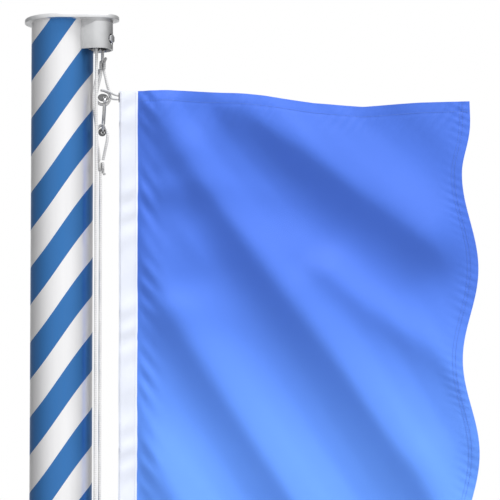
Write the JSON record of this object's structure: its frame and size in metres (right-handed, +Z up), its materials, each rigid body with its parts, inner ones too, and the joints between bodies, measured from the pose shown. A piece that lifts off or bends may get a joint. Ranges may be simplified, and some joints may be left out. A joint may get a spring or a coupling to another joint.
{
  "type": "flagpole",
  "caption": "Outside-halyard flagpole with a diagonally striped tube, cast cap and pulley, bolted base, cleat, snap hooks and an upright plain flag.",
  "frame": {"origin": "centre of the base plate's underside", "axes": "+Z up along the pole, +X towards the pulley, halyard and cleat"},
  "size_m": [0.747, 0.3899, 6.0065],
  "materials": {
    "pole_paint": "smooth gloss coat, white with blue diagonal stripes",
    "cast_aluminium": "fine-blasted casting, satin",
    "galvanised": "hot-dip galvanised, dull spangle",
    "stainless": "turned stainless",
    "hook_steel": "polished wire",
    "dark_steel": "dark oxidised",
    "black_nylon": "turned nylon",
    "white_rope": "braided polyester",
    "header_tape": "woven hoist tape, stitched",
    "flag_cloth": "satin-weave polyester, hemmed"
  },
  "bodies": {
    "mast": {"base_plate": "galvanised", "base_ribs": "galvanised", "base_socket": "galvanised", "socket_screws": "stainless", "pole_tube": "pole_paint", "cap_plate": "cast_aluminium", "pulley_housing": "cast_aluminium", "axle_bolt": "stainless", "axle_washer": "stainless", "halyard_over_sheave": "white_rope", "halyard_front": "white_rope", "halyard_rear_top": "white_rope", "halyard_hoist": "white_rope", "halyard_rear_low": "white_rope", "halyard_turn": "white_rope", "halyard_belay": "white_rope", "knot_a_top": "white_rope", "eye_a_top": "white_rope", "bypass_top": "white_rope", "thimble_a_top": "dark_steel", "snap_hook_top": "hook_steel", "thimble_b_top": "dark_steel", "eye_b_top": "white_rope", "knot_b_top": "white_rope", "flag_loop_top": "white_rope", "knot_a_low": "white_rope", "eye_a_low": "white_rope", "bypass_low": "white_rope", "thimble_a_low": "dark_steel", "snap_hook_low": "hook_steel", "thimble_b_low": "dark_steel", "eye_b_low": "white_rope", "knot_b_low": "white_rope", "flag_loop_low": "white_rope", "flag_header": "header_tape", "flag_cloth": "flag_cloth", "cleat": "cast_aluminium", "cleat_screws": "stainless"},
    "sheave": {"sheave": "black_nylon"},
    "gate_top": {"hook_gate_top": "hook_steel"},
    "gate_low": {"hook_gate_low": "hook_steel"}
  },
  "joints": [
    {"name": "sheave_spin", "type": "hinge", "parent": "mast", "child": "sheave", "pos_m": [0.066, 0, 5.969], "axis": [1, 0, 0], "continuous": true},
    {"name": "gate_top_open", "type": "hinge", "parent": "mast", "child": "gate_top", "pos_m": [0.07179, 0.00313, 5.83447], "axis": [-0.9119, -0.406, 0.0593], "range_deg": [0, 14], "stiffness_Nm_per_rad": 0.03, "springref_deg": -11.46},
    {"name": "gate_low_open", "type": "hinge", "parent": "mast", "child": "gate_low", "pos_m": [0.07179, 0.00313, 4.43953], "axis": [0.9119, 0.406, 0.0593], "range_deg": [0, 14], "stiffness_Nm_per_rad": 0.03, "springref_deg": -11.46}
  ]
}
